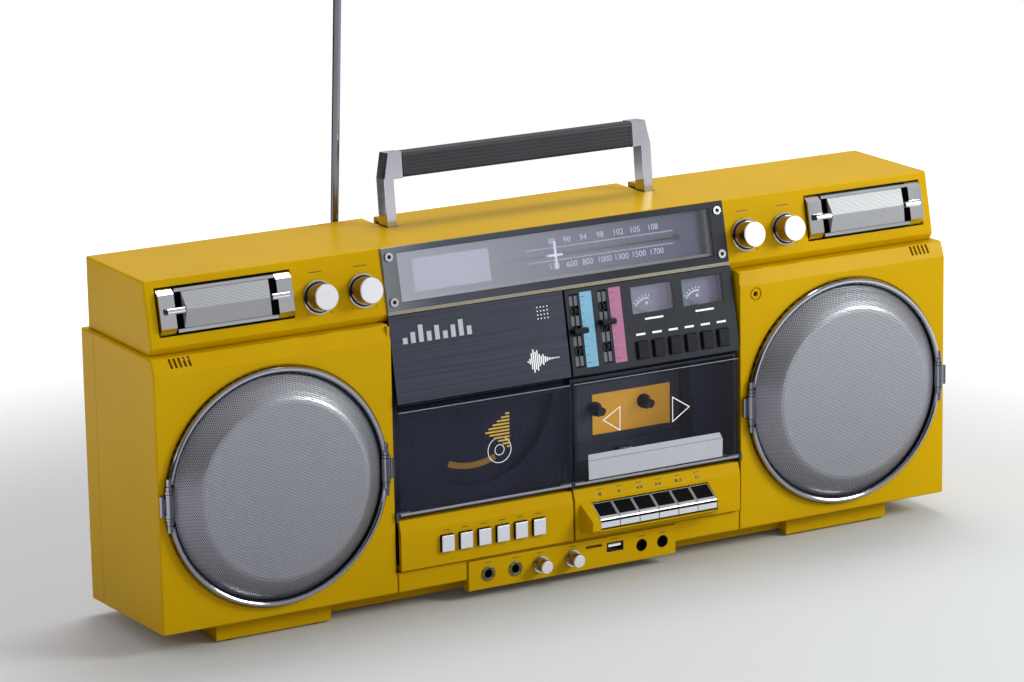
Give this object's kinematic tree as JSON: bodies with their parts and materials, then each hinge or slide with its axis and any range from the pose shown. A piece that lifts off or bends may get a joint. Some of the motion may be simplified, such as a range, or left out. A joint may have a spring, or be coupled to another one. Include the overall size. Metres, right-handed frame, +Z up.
{
  "type": "portable boombox",
  "caption": "Boxy carry-handled stereo with large round speakers, tuning dial, disc and tape doors, push keys, knobs and a telescopic antenna.",
  "frame": {"origin": "on the ground, under the middle of the whole object's bounding box", "axes": "+X to the right seen from the front, +Y to the back, +Z up; the speakers face -Y"},
  "size_m": [0.67, 0.1462, 0.4505],
  "materials": {
    "yellow_paint": "satin yellow ABS",
    "rubber": "matt",
    "chrome": "bright plated",
    "chrome_plastic": "chrome plated plastic",
    "silver_plastic": "satin silver",
    "steel_mesh": "perforated sheet",
    "driver_steel": "black",
    "black_plastic": "satin black",
    "clear_plastic": "clear acrylic",
    "grey_plastic": "printed dial",
    "white_plastic": "bright white",
    "smoked_plastic": "smoked acrylic",
    "brushed_black": "brushed dark foil",
    "circuit_board": "printed circuit board"
  },
  "bodies": {
    "treble_knob": {"treble_knob": "chrome"},
    "bass_knob": {"bass_knob": "chrome"},
    "tuning_knob": {"tuning_knob": "chrome"},
    "volume_knob": {"volume_knob": "chrome"},
    "mic_level_knob": {"mic_level_knob": "chrome"},
    "echo_level_knob": {"echo_level_knob": "chrome"},
    "dial_needle": {"dial_needle": "white_plastic"},
    "fader_1": {"fader_1": "black_plastic"},
    "fader_2": {"fader_2": "black_plastic"},
    "mode_button_1": {"mode_button_1": "black_plastic"},
    "preset_button_1": {"preset_button_1": "silver_plastic"},
    "transport_key_1": {"transport_key_1": "chrome_plastic"},
    "mode_button_2": {"mode_button_2": "black_plastic"},
    "preset_button_2": {"preset_button_2": "silver_plastic"},
    "transport_key_2": {"transport_key_2": "chrome_plastic"},
    "mode_button_3": {"mode_button_3": "black_plastic"},
    "preset_button_3": {"preset_button_3": "silver_plastic"},
    "transport_key_3": {"transport_key_3": "chrome_plastic"},
    "mode_button_4": {"mode_button_4": "black_plastic"},
    "preset_button_4": {"preset_button_4": "silver_plastic"},
    "transport_key_4": {"transport_key_4": "chrome_plastic"},
    "mode_button_5": {"mode_button_5": "black_plastic"},
    "preset_button_5": {"preset_button_5": "silver_plastic"},
    "transport_key_5": {"transport_key_5": "chrome_plastic"},
    "mode_button_6": {"mode_button_6": "black_plastic"},
    "preset_button_6": {"preset_button_6": "silver_plastic"},
    "transport_key_6": {"transport_key_6": "chrome_plastic"},
    "disc_door": {"cd_door": "smoked_plastic", "trim_panel": "brushed_black"},
    "tape_door": {"cassette_door": "smoked_plastic"},
    "cd_turntable": {"cd_turntable": "black_plastic"},
    "left_reel_drive": {"left_reel_drive": "black_plastic"},
    "right_reel_drive": {"right_reel_drive": "black_plastic"},
    "left_meter_needle": {"left_meter_needle": "white_plastic"},
    "right_meter_needle": {"right_meter_needle": "white_plastic"},
    "handle": {"handle_arms": "chrome", "handle_grip": "black_plastic"},
    "antenna_base": {"antenna_base": "chrome"},
    "antenna_tube": {"antenna_tube": "chrome"},
    "antenna_rod": {"antenna_rod": "chrome"},
    "casing": {"front_cabinet": "yellow_paint", "rear_cover": "yellow_paint", "top_housing": "yellow_paint", "base_tray": "yellow_paint", "lower_fascia": "yellow_paint", "jack_panel": "yellow_paint", "foot_pads": "rubber", "speaker_rings": "chrome", "tweeter_frames": "chrome", "case_screws": "chrome", "sockets": "chrome", "speaker_grilles": "steel_mesh", "woofers": "driver_steel", "dial_frame": "black_plastic", "control_panel": "black_plastic", "level_meters": "black_plastic", "deck_chassis": "black_plastic", "clear_windows": "clear_plastic", "dial_scale": "grey_plastic", "main_board": "circuit_board"}
  },
  "joints": [
    {"name": "treble_turn", "type": "hinge", "parent": "casing", "child": "treble_knob", "pos_m": [-0.1979, -0.04079, 0.24126], "axis": [0, 0.9773, -0.212], "range_deg": [-150, 150]},
    {"name": "bass_turn", "type": "hinge", "parent": "casing", "child": "bass_knob", "pos_m": [-0.162, -0.04079, 0.24126], "axis": [0, 0.9773, -0.212], "range_deg": [-150, 150]},
    {"name": "tuning_turn", "type": "hinge", "parent": "casing", "child": "tuning_knob", "pos_m": [0.162, -0.04079, 0.24126], "axis": [0, 0.9773, -0.212], "range_deg": [-480, 1120]},
    {"name": "volume_turn", "type": "hinge", "parent": "casing", "child": "volume_knob", "pos_m": [0.1979, -0.04079, 0.24126], "axis": [0, 0.9773, -0.212], "range_deg": [-150, 150]},
    {"name": "mic_level_turn", "type": "hinge", "parent": "casing", "child": "mic_level_knob", "pos_m": [-0.0285, -0.0567, 0.019], "axis": [0, 1, 0], "range_deg": [-150, 150]},
    {"name": "echo_level_turn", "type": "hinge", "parent": "casing", "child": "echo_level_knob", "pos_m": [-0.001, -0.0567, 0.019], "axis": [0, 1, 0], "range_deg": [-150, 150]},
    {"name": "needle_travel", "type": "slide", "parent": "casing", "child": "dial_needle", "axis": [1, 0, 0], "range_m": [-0.042, 0.098]},
    {"name": "fader_1_slide", "type": "slide", "parent": "casing", "child": "fader_1", "axis": [0, 0.1901, 0.9818], "range_m": [-0.0245, 0.0251]},
    {"name": "fader_2_slide", "type": "slide", "parent": "casing", "child": "fader_2", "axis": [0, 0.1901, 0.9818], "range_m": [-0.028, 0.0216]},
    {"name": "mode_1_press", "type": "slide", "parent": "casing", "child": "mode_button_1", "axis": [0, 0.9818, -0.1901], "range_m": [0, 0.002], "stiffness_N_per_m": 300},
    {"name": "preset_1_press", "type": "slide", "parent": "casing", "child": "preset_button_1", "axis": [0, 1, 0], "range_m": [0, 0.0022], "stiffness_N_per_m": 300},
    {"name": "key_1_press", "type": "hinge", "parent": "casing", "child": "transport_key_1", "pos_m": [0.02305, -0.0435, 0.053], "axis": [1, 0, 0], "range_deg": [0, 2.6], "stiffness_Nm_per_rad": 0.5},
    {"name": "mode_2_press", "type": "slide", "parent": "casing", "child": "mode_button_2", "axis": [0, 0.9818, -0.1901], "range_m": [0, 0.002], "stiffness_N_per_m": 300},
    {"name": "preset_2_press", "type": "slide", "parent": "casing", "child": "preset_button_2", "axis": [0, 1, 0], "range_m": [0, 0.0022], "stiffness_N_per_m": 300},
    {"name": "key_2_press", "type": "hinge", "parent": "casing", "child": "transport_key_2", "pos_m": [0.04, -0.0435, 0.053], "axis": [1, 0, 0], "range_deg": [0, 2.6], "stiffness_Nm_per_rad": 0.5},
    {"name": "mode_3_press", "type": "slide", "parent": "casing", "child": "mode_button_3", "axis": [0, 0.9818, -0.1901], "range_m": [0, 0.002], "stiffness_N_per_m": 300},
    {"name": "preset_3_press", "type": "slide", "parent": "casing", "child": "preset_button_3", "axis": [0, 1, 0], "range_m": [0, 0.0022], "stiffness_N_per_m": 300},
    {"name": "key_3_press", "type": "hinge", "parent": "casing", "child": "transport_key_3", "pos_m": [0.05695, -0.0435, 0.053], "axis": [1, 0, 0], "range_deg": [0, 2.6], "stiffness_Nm_per_rad": 0.5},
    {"name": "mode_4_press", "type": "slide", "parent": "casing", "child": "mode_button_4", "axis": [0, 0.9818, -0.1901], "range_m": [0, 0.002], "stiffness_N_per_m": 300},
    {"name": "preset_4_press", "type": "slide", "parent": "casing", "child": "preset_button_4", "axis": [0, 1, 0], "range_m": [0, 0.0022], "stiffness_N_per_m": 300},
    {"name": "key_4_press", "type": "hinge", "parent": "casing", "child": "transport_key_4", "pos_m": [0.0739, -0.0435, 0.053], "axis": [1, 0, 0], "range_deg": [0, 2.6], "stiffness_Nm_per_rad": 0.5},
    {"name": "mode_5_press", "type": "slide", "parent": "casing", "child": "mode_button_5", "axis": [0, 0.9818, -0.1901], "range_m": [0, 0.002], "stiffness_N_per_m": 300},
    {"name": "preset_5_press", "type": "slide", "parent": "casing", "child": "preset_button_5", "axis": [0, 1, 0], "range_m": [0, 0.0022], "stiffness_N_per_m": 300},
    {"name": "key_5_press", "type": "hinge", "parent": "casing", "child": "transport_key_5", "pos_m": [0.09085, -0.0435, 0.053], "axis": [1, 0, 0], "range_deg": [0, 2.6], "stiffness_Nm_per_rad": 0.5},
    {"name": "mode_6_press", "type": "slide", "parent": "casing", "child": "mode_button_6", "axis": [0, 0.9818, -0.1901], "range_m": [0, 0.002], "stiffness_N_per_m": 300},
    {"name": "preset_6_press", "type": "slide", "parent": "casing", "child": "preset_button_6", "axis": [0, 1, 0], "range_m": [0, 0.0022], "stiffness_N_per_m": 300},
    {"name": "key_6_press", "type": "hinge", "parent": "casing", "child": "transport_key_6", "pos_m": [0.1078, -0.0435, 0.053], "axis": [1, 0, 0], "range_deg": [0, 2.6], "stiffness_Nm_per_rad": 0.5},
    {"name": "disc_door_hinge", "type": "hinge", "parent": "casing", "child": "disc_door", "pos_m": [-0.07315, -0.0565, 0.0762], "axis": [1, 0, 0], "range_deg": [0, 38]},
    {"name": "tape_door_hinge", "type": "hinge", "parent": "casing", "child": "tape_door", "pos_m": [0.07315, -0.0565, 0.0762], "axis": [1, 0, 0], "range_deg": [0, 30]},
    {"name": "disc_spin", "type": "hinge", "parent": "casing", "child": "cd_turntable", "pos_m": [-0.073, -0.0375, 0.149], "axis": [0, 1, 0], "continuous": true},
    {"name": "left_reel_spin", "type": "hinge", "parent": "casing", "child": "left_reel_drive", "pos_m": [0.0345, -0.0355, 0.1228], "axis": [0, 1, 0], "continuous": true},
    {"name": "right_reel_spin", "type": "hinge", "parent": "casing", "child": "right_reel_drive", "pos_m": [0.077, -0.0355, 0.1228], "axis": [0, 1, 0], "continuous": true},
    {"name": "left_meter_swing", "type": "hinge", "parent": "casing", "child": "left_meter_needle", "pos_m": [0.0745, -0.04553, 0.19318], "axis": [0, 0.9818, -0.1901], "range_deg": [0, 96], "stiffness_Nm_per_rad": 0.0001},
    {"name": "right_meter_swing", "type": "hinge", "parent": "casing", "child": "right_meter_needle", "pos_m": [0.1187, -0.04553, 0.19318], "axis": [0, 0.9818, -0.1901], "range_deg": [0, 96], "stiffness_Nm_per_rad": 0.0001},
    {"name": "handle_fold", "type": "hinge", "parent": "casing", "child": "handle", "pos_m": [0.0062, 0.0272, 0.2575], "axis": [-1, 0, 0], "range_deg": [0, 84]},
    {"name": "antenna_swivel", "type": "hinge", "parent": "casing", "child": "antenna_base", "pos_m": [-0.1283, 0.0677, 0.24], "axis": [0, 0, 1], "range_deg": [-180, 0]},
    {"name": "antenna_tilt", "type": "hinge", "parent": "antenna_base", "child": "antenna_tube", "pos_m": [-0.1283, 0.0677, 0.252], "axis": [0, -1, 0], "range_deg": [-5, 92.5]},
    {"name": "antenna_extend", "type": "slide", "parent": "antenna_tube", "child": "antenna_rod", "axis": [0.0436, 0, 0.999], "range_m": [0, 0.17]}
  ],
  "couplings": [
    {"joint": "needle_travel", "follows": "tuning_turn", "m_per_rad": 0.005}
  ]
}
